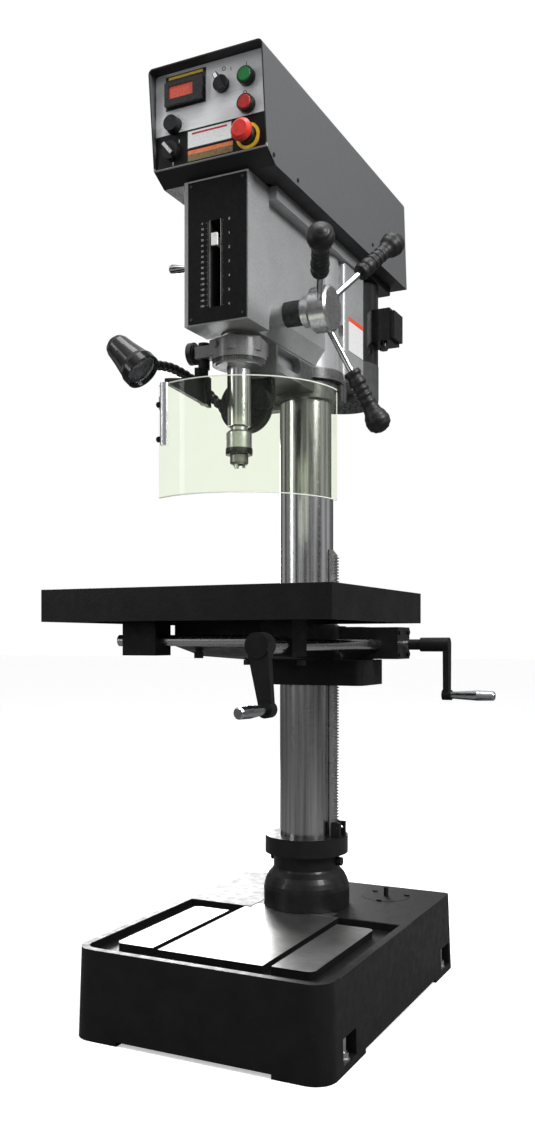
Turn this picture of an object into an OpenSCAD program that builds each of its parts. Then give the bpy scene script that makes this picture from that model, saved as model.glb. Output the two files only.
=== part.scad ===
// Floor-standing variable-speed drill press, built as separate pieces.
// +Z up, floor at z = 0, column axis on the Z axis, operator at -Y, feed handles on +X.
// All sizes in millimetres.

/* [Stand] */
// Wall thickness of the base casting
base_wall = 14; // [10:1:18]
// Height of the machined pads above the base tray
pad_h = 14.5; // [10:0.5:15]
// Radius of the column foot skirt
foot_r = 92; // [88:1:96]
// Height of the top end of the column
column_top = 1500; // [1450:5:1520]

/* [Table] */
// Width of the table, left to right
table_w = 570; // [540:2:590]
// Distance of the table's front edge from the column axis
table_front = 540; // [520:1:542]
// Thickness of the solid table plate
table_plate = 30; // [26:1:34]
// Length of the crank handles
handle_len = 88; // [70:2:100]

/* [Feed] */
// Radius of the feed handle tips from the hub axis
tip_r = 222; // [200:2:230]
// Radius of the feed handle rods
rod_r = 6; // [5:0.5:7]

/* [Guard and lamp] */
// Height of the clear chuck guard
guard_h = 200; // [160:5:200]
// Thickness of the clear chuck guard
guard_t = 3; // [2:0.5:4]
// Radius of the work lamp rim
lamp_r = 36; // [30:1:38]

/* [Hood] */
// Sheet thickness of the belt hood
sheet = 2.5; // [2:0.5:3]

/* [Hidden] */
$fn = 48;

// stand
base_hw = 258;
base_f = -492;
base_b = 223;
base_top = 165.8;
tray_z = 150;
deck_f = -80;
col_r = 57.5;
run = 0.06;
sump = [134, 131];

// spindle line
sy = -312;
quill_r = 22.5;
quill_z0 = 1135;
quill_z1 = 1500;

// feed pinion and racks share one tooth form
gm = 2;
gn = 14;
gp = gn * gm / 2;
thin = 0.12;
feed_y = sy + 21 + gp;
feed_z = 1344;
splay = 0.437;
hub_x0 = 148.8;
arm_a = 47.2;

// elevating rack and gearing
rack_pitch_x = 69.4;
pin_x = rack_pitch_x + gp;
worm_y = 18;
worm_z = 723;
pin_z = worm_z - 26;
fs_x = 170;
table_z0 = 764.7;
table_z1 = 823.1;

// head
front_y = -402;
head_w = 66;
head_z0 = 1306;
head_z1 = 1571.9;
hood_w = 116;
hood_z0 = 1572;
hood_z1 = 1769.5;
hood_r = 9;
motor_y = 220;
pulley_z = 1602;

// guard
gx = 16;
gy = -318;
gr = 183;
guard_z1 = 1183;
post_x = -76;

black = [0.07, 0.07, 0.07];
dark = [0.16, 0.16, 0.17];
grey = [0.62, 0.63, 0.64];
steel = [0.75, 0.76, 0.78];
chrome = [0.85, 0.86, 0.88];
clear = [0.85, 0.9, 0.75, 0.4];

// helpers
module box(x0, x1, y0, y1, z0, z1) {
  translate([x0, y0, z0]) cube([x1 - x0, y1 - y0, z1 - z0]);
}
module zcyl(r, z0, z1, x = 0, y = 0) {
  translate([x, y, z0]) cylinder(r = r, h = z1 - z0);
}
module xcyl(r, x0, x1, y, z) {
  translate([x0, y, z]) rotate([0, 90, 0]) cylinder(r = r, h = x1 - x0);
}
module ycyl(r, y0, y1, x, z) {
  translate([x, y0, z]) rotate([-90, 0, 0]) cylinder(r = r, h = y1 - y0);
}
module xcone(r0, r1, x0, x1, y, z) {
  translate([x0, y, z]) rotate([0, 90, 0]) cylinder(r1 = r0, r2 = r1, h = x1 - x0);
}
module ycone(r0, r1, y0, y1, x, z) {
  translate([x, y0, z]) rotate([-90, 0, 0]) cylinder(r1 = r0, r2 = r1, h = y1 - y0);
}
// a bar of radius r from point a to point b
module bar(a, b, r, end_r = 0) {
  d = b - a;
  l = norm(d);
  translate(a) rotate([0, acos(d[2] / l), atan2(d[1], d[0])])
    cylinder(r1 = r, r2 = end_r > 0 ? end_r : r, h = l);
}
module hexz(r, z0, z1, x, y) {
  translate([x, y, z0]) cylinder(r = r, h = z1 - z0, $fn = 6);
}
// side profile in the YZ plane, extruded along X about the middle
module side(pts, w) {
  translate([-w, 0, 0]) rotate([90, 0, 90]) linear_extrude(2 * w) polygon(pts);
}
// cross-section in the XZ plane, extruded along Y
module cross(pts, y0, y1) {
  translate([0, y1, 0]) rotate([90, 0, 0]) linear_extrude(y1 - y0) polygon(pts);
}
// square plate with four rounded corners, true circles
module rplate(x0, x1, y0, y1, r, z0, z1) {
  translate([0, 0, z0]) linear_extrude(z1 - z0) union() {
    translate([x0 + r, y0]) square([x1 - x0 - 2 * r, y1 - y0]);
    translate([x0, y0 + r]) square([x1 - x0, y1 - y0 - 2 * r]);
    for (x = [x0 + r, x1 - r], y = [y0 + r, y1 - r]) translate([x, y]) circle(r);
  }
}

// involute spur gear, one tooth pointing along +X
function inv(a) = tan(a) * 180 / PI - a;
function flank(r, rb, half) = r <= rb ? half + inv(20) : half + inv(20) - inv(acos(rb / r));
function at_polar(r, a) = [r * cos(a), r * sin(a)];
function gear_points(n, m, add, ded) =
  let (rp = n * m / 2, rb = rp * cos(20), ra = rp + add, rd = rp - ded)
  let (half = 90 / n - thin / (2 * rp) * 180 / PI)
  let (rs = [rd, rb, rb + (ra - rb) / 3, rb + (ra - rb) * 2 / 3, ra])
  [for (i = [0:n - 1]) each concat(
    [for (r = rs) at_polar(r, i * 360 / n - flank(r, rb, half))],
    [for (k = [4:-1:0]) at_polar(rs[k], i * 360 / n + flank(rs[k], rb, half))])];

// straight rack profile: x is the height over the pitch line, y runs along the rack
function rack_points(k0, k1, add, ded) =
  let (p = PI * gm, t = p / 4 - thin / 2, s = tan(20))
  [for (k = [k0:k1]) each [
    [-ded, (k + 0.5) * p - t - ded * s], [add, (k + 0.5) * p - t + add * s],
    [add, (k + 0.5) * p + t - add * s], [-ded, (k + 0.5) * p + t + ded * s]]];

// ---------------------------------------------------------------- stand
module base_casting() color(black) union() {
  // post under the column
  zcyl(60, 0, 135);
  difference() {
  union() {
    difference() {
      hull() {
        for (s = [-1, 1]) {
          translate([s * (base_hw - 42), base_f + 42, 0]) cylinder(r = 42, h = 1);
          translate([s * (base_hw - 42), base_f + 42, base_top - 1]) cylinder(r = 37, h = 1);
          translate([s * (base_hw - 12), base_b - 12, 0]) cylinder(r = 12, h = 1);
          translate([s * (base_hw - 17), base_b - 17, base_top - 1]) cylinder(r = 12, h = 1);
        }
      }
      // hollow underneath and tray above
      rplate(-base_hw + base_wall + 4, base_hw - base_wall - 4, base_f + base_wall + 4,
        base_b - base_wall - 4, 26, -1, 132);
      rplate(-253 + base_wall, 253 - base_wall, base_f + 5 + base_wall, deck_f + 30, 26,
        tray_z, 180);
    }
    // rear deck bridging over the back of the tray
    box(-245, 245, deck_f, deck_f + 60, 140, base_top);
    // machined pads
    difference() {
      union() {
        rplate(-202, -100, -424, -126, 14, tray_z - 1, tray_z + pad_h);
        rplate(100, 202, -424, -126, 14, tray_z - 1, tray_z + pad_h);
        box(-107, 107, -428, deck_f + 1, tray_z - 1, tray_z + pad_h);
      }
      for (s = [-1, 1]) box(s * 114.5 - 7.5, s * 114.5 + 7.5, -440, -110, tray_z, 180);
    }
    // bosses behind the anchor pockets
    for (s = [-1, 1], y = [-393, 170])
      box(s * 232 - 17, s * 232 + 17, y - 42, y + 42, 0, 74);
  }
  // notch of the deck over the middle pad
  box(-94, 94, deck_f - 1, -20, tray_z + pad_h + 0.4, 180);
  // recess and drain under the round cover
  zcyl(52.4, base_top - 5, 180, sump[0], sump[1]);
  zcyl(40, 120, 180, sump[0], sump[1]);
  for (s = [-1, 1], y = [-393, 170]) {
    box(s * 246 - 18, s * 246 + 18, y - 30, y + 30, 14, 60);
    zcyl(7.5, -1, 20, s * 243, y);
  }
  // clearance under the middle of each side
  box(-155, 155, -500, 230, -1, 8);
  box(-270, 270, -319, 100, -1, 8);
  // seats of the column foot screws
  for (a = [45:90:315]) zcyl(6.1, 140, 180, 78 * cos(a), 78 * sin(a));
  }
}

module anchor_bolts() color(steel) for (s = [-1, 1], y = [-393, 170]) {
  zcyl(6, 1, 56, s * 243, y);
  difference() {
    union() {
      zcyl(13, 14, 17, s * 243, y);
      hexz(11, 17, 27, s * 243, y);
    }
    zcyl(6.1, 10, 30, s * 243, y);
  }
}

module sump_cover() {
  color(black) difference() {
    zcyl(52, base_top - 4.9, base_top + 0.4, sump[0], sump[1]);
    zcyl(5.05, 150, 180, sump[0], sump[1]);
    for (a = [142, 27, 270])
      zcyl(3.05, 150, 180, sump[0] + 46 * cos(a), sump[1] + 46 * sin(a));
  }
  color(steel) {
    zcyl(5, base_top - 12, base_top + 20, sump[0], sump[1]);
    for (a = [142, 27, 270]) translate([sump[0] + 46 * cos(a), sump[1] + 46 * sin(a), 0]) {
      zcyl(3, base_top - 4.9, base_top + 0.4);
      zcyl(5.5, base_top + 0.4, base_top + 3);
    }
  }
}

module column_foot() {
  color(dark) difference() {
    rotate_extrude() polygon([[col_r + run, base_top], [foot_r, base_top], [foot_r, 203],
      [foot_r - 1.5, 212], [foot_r - 5, 222], [foot_r - 10, 232], [73, 242], [71, 246],
      [71, 278], [col_r + run, 278]]);
    for (a = [45:90:315]) zcyl(6.1, 160, 185, 78 * cos(a), 78 * sin(a));
    for (a = [0, 180]) rotate(a) xcyl(6.05, 57, 75, 0, 262);
  }
  color(steel) for (a = [45:90:315]) zcyl(6, 145, 184, 78 * cos(a), 78 * sin(a));
  color(black) for (a = [0, 180]) rotate(a) {
    union() {
      xcyl(6, col_r + run, 74, 0, 262);
      xcyl(9, 71.3, 82, 0, 262);
    }
  }
}

module column() color(chrome) difference() {
  zcyl(col_r, base_top, column_top);
  zcyl(col_r - 8, base_top - 1, column_top + 1);
}

// ---------------------------------------------------------------- elevating rack
module rack() color(steel) {
  k1 = floor((920 - pin_z) / (PI * gm)) - 1;
  k0 = -floor((pin_z - 318) / (PI * gm));
  difference() {
    translate([0, 11, 0]) rotate([90, 0, 0]) linear_extrude(22) union() {
      translate([col_r + 0.2, 315.3]) square([rack_pitch_x - 2.2 - col_r - 0.2, 610.7]);
      translate([rack_pitch_x, pin_z]) polygon(concat(
        [[-4, k0 * PI * gm], [-2.2, k0 * PI * gm]], rack_points(k0, k1, 1.6, 2.2),
        [[-2.2, (k1 + 1) * PI * gm], [-4, (k1 + 1) * PI * gm]]));
    }
    translate([col_r, -20, 926]) rotate([0, 50, 0]) cube([40, 40, 20]);
  }
}

module rack_collar() color(dark) difference() {
  union() {
    zcyl(89, 278.3, 315);
    for (s = [-1, 1]) box(64, 84, s * 15 - 3.4, s * 15 + 3.4, 300, 346);
  }
  zcyl(col_r + run, 270, 320);
  rotate(180) xcyl(5, 50, 95, 0, 296);
  for (s = [-1, 1]) ycyl(3, -30, 30, 76, 334);
}

// ---------------------------------------------------------------- table support
arm_side = [[-400, 764.4], [-400, 721], [-300, 701], [-86, 690], [-50, 640],
  [-50, 764.4]];
module table_bracket() color(black) difference() {
  union() {
    zcyl(85, 639, 762);
    rplate(-77, 158, -85, 54, 18, 639, 691);
    side(arm_side, 88);
    box(0, 132, -19, 57, 680, 760);
    box(60, 131, 57, 95, 745, 760);
    ycyl(18, 80, 92, -34, 665);
  }
  zcyl(col_r + run, 600, 800);
  // rack channel, pinion and wheel chamber, worm chamber
  box(50, 73, -11.6, 11.6, 600, 800);
  ycyl(17.4, -13, 28, pin_x, pin_z);
  ycyl(9.06, -31, 41, pin_x, pin_z);
  xcyl(11.6, 70, 106, worm_y, worm_z);
  xcyl(8.06, 64, 140, worm_y, worm_z);
  // clamp screw seat and bolt holes to the table
  ycyl(7.06, 60, 100, -34, 665);
  for (x = [-60, 60], y = [-360, -160]) zcyl(6.1, 680, 770, x, y);
}

function clamp_at(t) = [-34, 104, 665] + t * [-0.858, 0.355, -0.37];
module clamp_lever() color(dark) union() {
  ycyl(7, 62, 104, -34, 665);
  ycyl(13, 92.2, 112, -34, 665);
  bar(clamp_at(0), clamp_at(62), 6);
  bar(clamp_at(58), clamp_at(66), 7, 12);
  bar(clamp_at(65.5), clamp_at(82.5), 12);
  bar(clamp_at(82), clamp_at(86), 12, 9);
}

module gearbox_housing() {
  color(dark) difference() {
    box(132.2, 213, -19, 57, 693, 759);
    ycyl(21, -8, 46, fs_x, worm_z);
    box(149, 191, 0, 46, 702, 744);
    xcyl(20.5, 138, 154, worm_y, worm_z);
    xcyl(8.06, 130, 214, worm_y, worm_z);
    ycyl(10.06, -20, 0, fs_x, worm_z);
    for (y = [-9, 46], z = [703, 749]) xcyl(3.05, 200, 214, y, z);
  }
  color(steel) for (y = [-9, 46], z = [703, 749]) union() {
    xcyl(3, 200.5, 213.05, y, z);
    xcyl(5.5, 213.05, 216.5, y, z);
  }
}

module table() color(black) difference() {
  union() {
    difference() {
      box(-table_w / 2, table_w / 2, -table_front, -90, table_z0, table_z1);
      box(-table_w / 2 + 13, table_w / 2 - 13, -table_front + 13, -103, 700,
        table_z1 - table_plate);
    }
    // mounting pad and ribs
    box(-95, 95, -405, -95, table_z0, table_z1 - table_plate + 1);
    for (x = [-190, 190]) box(x - 5, x + 5, -table_front + 5, -95, table_z0 + 8, 800);
    for (y = [-430, -230]) box(-280, 280, y - 5, y + 5, table_z0 + 8, 800);
    // lugs for the cross rod and for the front crank shaft
    box(-152, -82, -476, -424, 704, 800);
    box(152, 188, -478, -420, 704, 800);
  }
  xcyl(10.06, -160, 160, -450, 731);
  ycyl(14.06, -500, -400, fs_x, worm_z);
  // T-slots and coolant groove
  for (x = [-120, 120]) {
    box(x - 9, x + 9, -500, -130, table_z1 - 12, 830);
    box(x - 15, x + 15, -500, -130, table_z1 - 21, table_z1 - 11);
  }
  difference() {
    box(-table_w / 2 + 16, table_w / 2 - 16, -table_front + 16, -106, table_z1 - 7, 830);
    box(-table_w / 2 + 30, table_w / 2 - 30, -table_front + 30, -120, 700, 840);
  }
  for (x = [-60, 60], y = [-360, -160]) zcyl(6.1, 760, 790, x, y);
}

module table_bolts() color(steel) for (x = [-60, 60], y = [-360, -160]) {
  union() {
    zcyl(6, y == -360 ? 698 : 681.5, 788, x, y);
    hexz(10, y == -360 ? 698 : 681.5, y == -360 ? 710 : 692, x, y);
  }
}

module cross_rod() {
  color(chrome) xcyl(10, -154, 151, -450, 731);
  color(black) xcyl(10.6, -175, -154, -450, 731);
}

module pinion_shaft() color(steel) union() {
  ycyl(9, -30, 40, pin_x, pin_z);
  translate([pin_x, 9, pin_z]) rotate([90, 180, 0]) linear_extrude(20)
    polygon(gear_points(gn, gm, 1.6, 2.2));
  ycyl(15.8, 11, 25, pin_x, pin_z);
}

module worm_shaft() color(steel) union() {
  xcyl(8, 72, 292, worm_y, worm_z);
  xcyl(10, 72, 104, worm_y, worm_z);
  xcone(18, 12, 140, 152, worm_y, worm_z);
  xcyl(18, 139, 140, worm_y, worm_z);
}

module front_shaft() color(chrome) union() {
  ycyl(10, -420.2, -3, fs_x, worm_z);
  ycyl(14, -556, -420, fs_x, worm_z);
  ycone(17.6, 10.5, -3, 5, fs_x, worm_z);
}

module right_crank() color(dark) difference() {
  union() {
    xcyl(14.5, 251, 311, worm_y, worm_z);
    xcyl(11, 226, 251, worm_y, worm_z);
    hull() {
      xcyl(11, 300, 312, worm_y, worm_z - 2);
      xcyl(9, 300, 312, worm_y, worm_z - 103);
    }
    xcyl(10.5, 297, 316, worm_y, worm_z - 103);
  }
  xcyl(8.02, 220, 292.1, worm_y, worm_z);
  xcyl(4.05, 290, 320, worm_y, worm_z - 103);
}

module right_handle() color(chrome) {
  union() {
    xcyl(4, 297, 320, worm_y, worm_z - 103);
    xcone(7.5, 10.5, 316.3, 316.3 + handle_len * 0.6, worm_y, worm_z - 103);
    xcone(10.5, 9.5, 316.3 + handle_len * 0.6, 316.3 + handle_len - 3, worm_y, worm_z - 103);
    xcone(9.5, 7, 316.3 + handle_len - 3, 316.3 + handle_len, worm_y, worm_z - 103);
  }
}

fc = [185, -566, 621];
module front_crank() color(dark) difference() {
  union() {
    ycyl(21, -576, -547, fs_x, worm_z);
    hull() {
      ycyl(19, -574, -560, fs_x, worm_z);
      ycyl(11, -574, -560, fc[0], fc[2]);
    }
    ycyl(13.5, -577, -557, fc[0], fc[2]);
  }
  ycyl(14.02, -556.1, -540, fs_x, worm_z);
  ycyl(4.05, -580, -550, fc[0], fc[2]);
}

module front_handle() color(chrome) {
  union() {
    ycyl(4, -581, -557, fc[0], fc[2]);
    ycone(10.5, 7.5, -577.3 - handle_len * 0.6, -577.3, fc[0], fc[2]);
    ycone(9.5, 10.5, -577.3 - handle_len + 3, -577.3 - handle_len * 0.6, fc[0], fc[2]);
    ycone(7, 9.5, -577.3 - handle_len, -577.3 - handle_len + 3, fc[0], fc[2]);
  }
}

// ---------------------------------------------------------------- head
keel = [[-238, 1310], [-238, 1256], [0, 1250], [0, 1310]];
arm_cross = [[-59, 1342], [-44, head_z0], [44, head_z0], [59, 1342], [59, head_z1],
  [-59, head_z1]];
flange_side = [[-318, head_z1], [-318, 1548], [150, 1548], [150, head_z1]];
module head_casting() color(grey) difference() {
  union() {
    box(-head_w, head_w, front_y, -318, head_z0, head_z1);
    cross(arm_cross, -320, 60);
    side(keel, 42);
    side(flange_side, 82);
    // column collar with its top ring and left lug
    zcyl(69, 1242, head_z1);
    zcyl(80, 1280, 1303);
    box(-96, -50, -14, 14, 1232, 1284);
    rplate(-76, 76, 30, 150, 10, 1290, head_z1);
    zcyl(34, 1304.5, 1310, 0, sy);
    // feed boss and lock boss
    xcyl(21, 50, 83, feed_y, feed_z);
    xcyl(16, -70, -50, -354, 1428);
    // pad of the lamp bracket, clamp ridge of the column collar
    box(-60, 20, -214, -196, 1249.2, 1310);
    box(40, 76, 8, 40, 1244, 1290);
  }
  zcyl(quill_r + run, 1290, 1580, 0, sy);
  zcyl(79.6, 1200, 1560.2, 0, motor_y);
  zcyl(col_r + run, 1220, column_top + 1);
  // inner relief of the box casting
  box(-48, 48, -262, -80, 1334, 1580);
  // rack window, feed shaft bore
  xcyl(16.6, -10, 10, feed_y, feed_z);
  xcyl(10.06, -61, 90, feed_y, feed_z);
  // pointer slot
  box(-9.6, 9.6, -410, sy, 1335, 1492);
  // rounded pocket in the right side of the keel
  box(24, 50, -230, -141, 1269, 1303);
  xcyl(17, 24, 50, -141, 1286);
  // lock screw bore, collar slot, cable hole
  xcyl(5.06, -80, -30, -354, 1428);
  box(56, 90, 23, 25, 1220, 1292);
  ycyl(5, 0, 60, 66, 1262);
  xcyl(14, 60, 72, 24, 1399);
}

module head_screws() color(dark) {
  // socket screws of the hood, collar clamp screw, scale plate screws
  for (s = [-1, 1], p = [[-402, 1586], [-300, 1582], [94, 1599]])
    xcyl(3.5, s > 0 ? hood_w : -hood_w - 2, s > 0 ? hood_w + 2 : -hood_w, p[0], p[1]);
  union() {
    ycyl(4.9, 2, 46, 66, 1262);
    ycyl(8, 40.2, 50, 66, 1262);
  }
  for (x = [-50, 56], z = [1317, 1560]) ycyl(2.4, front_y - 3.6, front_y - 2, x, z);
}

module scale_plate() color(black) difference() {
  box(-57, 63, front_y - 2, front_y, 1309, 1568);
  box(-10, 10, front_y - 3, front_y + 1, 1335, 1492);
}

module depth_pointer() color([0.95, 0.95, 0.95]) union() {
  box(-6, 6, front_y - 7, front_y - 2.4, 1445, 1467);
  box(-3, 3, front_y - 3, sy - quill_r - 0.2, 1449, 1463);
}

module quill_lock() color(dark) union() {
  xcyl(5, -76, -40, -354, 1428);
  translate([-71, -354, 1428]) rotate([0, -98, 0]) cylinder(r1 = 4, r2 = 8.2, h = 35);
  bar([-74, -354, 1429], [-102, -350, 1439], 2.8);
}

module quill() color(chrome) difference() {
  union() {
    difference() {
      zcyl(quill_r, quill_z0, quill_z1, 0, sy);
      box(-9, 9, sy + 18.8, sy + 30, 1330, 1486);
    }
    intersection() {
      translate([8.6, sy + 21, feed_z]) rotate([90, 0, -90])
        linear_extrude(17.2) mirror([1, 0]) polygon(concat([[-6, -2 * PI * gm],
          [-2.2, -2 * PI * gm]], rack_points(-2, 21, 1.5, 2.2),
          [[-2.2, 22 * PI * gm], [-6, 22 * PI * gm]]));
      zcyl(quill_r - 0.05, 1310, 1500, 0, sy);
    }
  }
  zcyl(14, 1100, 1520, 0, sy);
  zcyl(18.5, 1100, 1151, 0, sy);
  zcyl(18.5, 1487, 1520, 0, sy);
}

module quill_bearings() color(steel) for (z = [1137, 1488])
  translate([0, sy, z]) difference() {
    zcyl(18.45, 0, 12);
    zcyl(10.05, -1, 13);
    for (k = [-1, 13]) translate([0, 0, k]) rotate_extrude() translate([14.5, 0])
      circle(2.4, $fn = 24);
  }

module spindle() color(steel) difference() {
  union() {
    zcyl(10, 1126, 1735, 0, sy);
    zcyl(16, 1126.1, 1133, 0, sy);
  }
  for (a = [0:60:300]) translate([0, sy, 0]) rotate(a) box(8.6, 12, -1.5, 1.5, 1530, 1740);
}

// angle of the clamp face of the stop collar
clamp_a = -109.7;
module depth_collar() {
  color(grey) difference() {
    union() {
      translate([0, sy, 1269]) rotate(clamp_a + 30) cylinder(r = 57, h = 25, $fn = 6);
      zcyl(52, 1257, 1291, 0, sy);
      zcyl(50.5, 1249, 1257.1, 0, sy);
      zcyl(44, 1246, 1249.1, 0, sy);
      box(-89, -40, sy - 14, sy + 14, 1270, 1293);
    }
    zcyl(quill_r + 0.02, 1200, 1400, 0, sy);
    box(-100, 0, sy - 1, sy + 1, 1200, 1400);
    zcyl(8.06, 1250, 1310, post_x, sy);
  }
  // clamp screw and the knob that holds the guard post
  color(dark) translate([0, sy, 1283]) rotate(clamp_a) xcyl(7, 52.2, 56, -8, 0);
  color(black) union() {
    xcyl(9, -92.5, -89.2, sy, 1284);
    xcyl(18, -95.5, -92, sy, 1284);
    xcyl(21.5, -106, -95, sy, 1284);
  }
}

module feed_shaft() color(steel) union() {
  xcyl(10, -60, 150, feed_y, feed_z);
  translate([-9, feed_y, feed_z]) rotate([0, 90, 0]) rotate(-90) linear_extrude(18)
    polygon(gear_points(gn, gm, 1.6, 2.2));
}

module feed_dial() color(black) difference() {
  union() {
    xcyl(23.5, 83.3, 121, feed_y, feed_z);
    xcyl(24.5, 116, 121, feed_y, feed_z);
  }
  xcyl(10.02, 80, 130, feed_y, feed_z);
}

function arm_at(k, r) = let (a = arm_a + 120 * k)
  [hub_x0 + splay * r, feed_y + r * cos(a), feed_z + r * sin(a)];
module feed_hub() color(steel) difference() {
  union() {
    xcyl(29, 121, 138, feed_y, feed_z);
    xcone(36, 42, 137, 143, feed_y, feed_z);
    xcyl(42, 143, 174, feed_y, feed_z);
    xcone(42, 38, 174, 178, feed_y, feed_z);
  }
  xcyl(10.02, 110, 150.1, feed_y, feed_z);
  for (k = [0:2]) bar(arm_at(k, 22), arm_at(k, 60), rod_r + 0.02);
}

module feed_arms() color(chrome) for (k = [0:2])
  bar(arm_at(k, 22.2), arm_at(k, tip_r - 25), rod_r);

grip = [[6.02, 0], [15, 0], [16, 3], [16, 10], [13.5, 14], [15, 19], [16.5, 26], [13.5, 31],
  [15.5, 38], [13.5, 44], [15.5, 51], [13.5, 57], [15.5, 64], [14, 71], [16, 80], [21, 92],
  [23.5, 103], [22, 113], [17, 120], [9, 124], [0, 125], [0, 98], [6.02, 98]];
module feed_grips() color(black) for (k = [0:2]) {
  a = arm_at(k, 117);
  d = arm_at(k, tip_r) - a;
  translate(a) rotate([0, acos(d[2] / norm(d)), atan2(d[1], d[0])])
    rotate_extrude() polygon(grip);
}

// ---------------------------------------------------------------- hood
hood_out = [[-447, 1769.5], [-428, 1592], [-392, 1572], [328, 1572], [308, 1769.5]];
hood_in = [[-460, 1767], [-442, 1600], [-391.3, 1574.5], [325.3, 1574.5], [305.7, 1767]];
// solid with two rounded top edges that run along Y
module rounded_top(w, z1, r) translate([0, 400, 0]) rotate([90, 0, 0]) linear_extrude(900)
  union() {
    polygon([[-w, 1500], [w, 1500], [w, z1 - r], [w - r, z1], [r - w, z1], [-w, z1 - r]]);
    for (s = [-1, 1]) translate([s * (w - r), z1 - r]) circle(r);
  }
module hood() color(black) difference() {
  intersection() {
    side(hood_out, hood_w);
    rounded_top(hood_w, hood_z1, hood_r);
  }
  intersection() {
    side(hood_in, hood_w - sheet);
    rounded_top(hood_w - sheet, hood_z1 - sheet, hood_r - sheet);
  }
  box(-72, 72, -330, 152, 1565, 1580);
  box(-60, 60, 165, 280, 1565, 1580);
  zcyl(24, 1560, 1580, 0, sy);
}

// panel frame: x across, y up the panel, z out of the panel
module on_panel() {
  translate([0, -424.5, 1594]) rotate([90, 0, 0]) children();
}
module control_panel() color(dark) difference() {
  intersection() {
    on_panel() translate([-113.2, -2.4, -3]) cube([226.4, 174.4, 3]);
    rounded_top(hood_w - sheet - 0.3, hood_z1 - sheet - 0.5, hood_r - sheet);
  }
  for (p = [[25.7, 125.2, 4.3], [76.1, 126.8, 6.4], [76, 78.5, 6.4], [-73.7, 74, 4.3],
    [-78.4, 28.3, 5.4], [78.3, 22.5, 8.4]])
    on_panel() translate([p[0], p[1], -5]) cylinder(r = p[2], h = 10);
}
module display() on_panel() {
  color(black) difference() {
    union() {
      translate([-91, 104, 0]) cube([83, 56, 1.6]);
      translate([-88, 107, 0]) cube([77, 42, 12]);
    }
    translate([-79, 118.5, 8]) cube([50, 23, 5]);
  }
  color([0.9, 0.3, 0.15]) translate([-78.9, 118.6, 8.05]) cube([49.8, 22.8, 1.5]);
}
module selector_knob() color(black) on_panel() translate([25.7, 125.2, 0]) union() {
  translate([0, 0, -12]) cylinder(r = 4, h = 16);
  translate([0, 0, 0.4]) cylinder(r = 14.5, h = 9);
  rotate(25) translate([-4.5, -16, 8]) cube([9, 32, 11]);
}
module speed_knob() color(black) on_panel() translate([-73.7, 74, 0]) union() {
  translate([0, 0, -12]) cylinder(r = 4, h = 16);
  translate([0, 0, 0.4]) cylinder(r1 = 16, r2 = 14, h = 16);
  translate([-1.2, 5, 16]) cube([2.4, 8, 1.4]);
}
module key_switch() color(black) on_panel() translate([-78.4, 28.3, 0]) union() {
  translate([0, 0, -12]) cylinder(r = 5, h = 16);
  translate([0, 0, 0.4]) cylinder(r = 16, h = 10);
  rotate(40) translate([-4.5, -15, 10]) cube([9, 30, 8]);
}
module push_cap(r) {
  translate([0, 0, -14]) cylinder(r = 6, h = 18);
  translate([0, 0, 3.6]) cylinder(r = r, h = 9.5);
  translate([0, 0, 13]) cylinder(r1 = r, r2 = r - 1.5, h = 1.5);
}
module start_button() color([0.1, 0.6, 0.25]) on_panel() translate([76.1, 126.8, 0])
  union() push_cap(12.6);
module stop_button() color([0.8, 0.15, 0.1]) on_panel() translate([76, 78.5, 0])
  union() push_cap(12.6);
module estop_button() color([0.85, 0.12, 0.08]) on_panel() translate([78.3, 22.5, 0])
  union() {
    translate([0, 0, -14]) cylinder(r = 8, h = 40);
    translate([0, 0, 20]) cylinder(r1 = 14, r2 = 19.5, h = 5);
    translate([0, 0, 25]) cylinder(r = 19.5, h = 6);
    translate([0, 0, 31]) cylinder(r1 = 19.5, r2 = 14, h = 5);
  }
module panel_plates() {
  color([0.9, 0.75, 0.1]) on_panel() translate([78.3, 22.5, 0]) difference() {
    cylinder(r = 23, h = 4);
    translate([0, 0, -1]) cylinder(r = 17.5, h = 12);
  }
  color(steel) on_panel() translate([-46.5, 24.6, 0]) cube([93, 33.6, 1.5]);
  color([0.85, 0.4, 0.15]) on_panel() translate([-45, 3, 0]) cube([92, 19, 0.8]);
  color([0.9, 0.9, 0.9]) box(76, 76.8, 54, 138, 1362, 1436);
}

// ---------------------------------------------------------------- drive
module motor_body() color(black) union() {
  zcyl(78, 1370, 1560, 0, motor_y);
  rplate(-84, 84, 150.2, 308, 10, 1556, 1571.8);
}
module fan_cover() color(grey) translate([0, motor_y, 0]) difference() {
  rotate_extrude() polygon([[0, 1277], [62, 1277], [72, 1280], [78, 1288], [79, 1296],
    [79, 1369.8], [0, 1369.8]]);
  zcyl(60, 1280, 1292);
  zcyl(74, 1291, 1368);
  for (ring = [[12, 6], [26, 10], [40, 16], [54, 22]], i = [0:ring[1] - 1])
    rotate(i * 360 / ring[1]) translate([ring[0], 0, 1270]) cylinder(r = 3.4, h = 20);
}
module junction_box() color(black) difference() {
  union() {
    box(60, 118, 198, 268, 1418, 1492);
    box(118, 128, 204, 262, 1424, 1486);
    zcyl(8, 1406, 1420, 100, 212);
    hexz(10, 1399, 1407, 100, 212);
  }
  zcyl(78.2, 1400, 1500, 0, motor_y);
}
module motor_pulley() color(steel) translate([0, motor_y, 0]) union() {
  zcyl(12, 1572.2, pulley_z + 40);
  zcyl(38, pulley_z, pulley_z + 4);
  zcyl(35, pulley_z + 4, pulley_z + 26);
  zcyl(38, pulley_z + 26, pulley_z + 30);
}
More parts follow.
